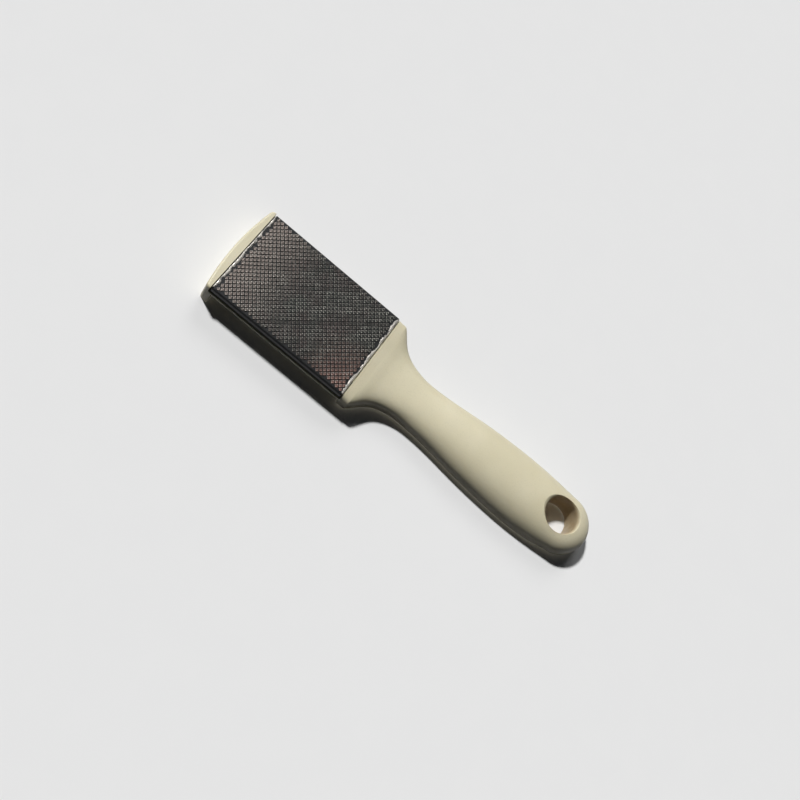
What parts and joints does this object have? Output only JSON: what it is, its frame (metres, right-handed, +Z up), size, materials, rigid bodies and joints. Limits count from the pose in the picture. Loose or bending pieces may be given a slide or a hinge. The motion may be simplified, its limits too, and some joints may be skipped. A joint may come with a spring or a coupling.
{
  "type": "hand rasp",
  "caption": "Flat hand rasp: a dark toothed steel plate set in the wide head of a cream plastic moulding with a slim domed grip and a round hanging hole in its rounded end.",
  "frame": {"origin": "middle of the tool's footprint, on its flat underside", "axes": "+X runs from the toothed head to the hanging hole, +Y across the tool, +Z up out of the toothed face"},
  "size_m": [0.189, 0.045, 0.0136],
  "materials": {
    "moulding": "satin moulded cream plastic",
    "cover_plastic": "satin moulded cream plastic, a little duller",
    "rasp_steel": "dark used steel with bright tooth tips",
    "stud_steel": "plain steel",
    "washer_steel": "plain steel",
    "nut_steel": "plain steel",
    "screw_steel": "plain steel"
  },
  "bodies": {
    "root": {"body_shell": "moulding", "rasp_plate": "rasp_steel", "base_cover": "cover_plastic", "weld_stud_1": "stud_steel", "stud_washer_1": "washer_steel", "stud_nut_1": "nut_steel", "weld_stud_2": "stud_steel", "stud_washer_2": "washer_steel", "stud_nut_2": "nut_steel", "weld_stud_3": "stud_steel", "stud_washer_3": "washer_steel", "stud_nut_3": "nut_steel", "weld_stud_4": "stud_steel", "stud_washer_4": "washer_steel", "stud_nut_4": "nut_steel", "cover_screw_1": "screw_steel", "cover_screw_2": "screw_steel", "cover_screw_3": "screw_steel", "cover_screw_4": "screw_steel", "cover_screw_5": "screw_steel", "cover_screw_6": "screw_steel"}
  },
  "joints": []
}
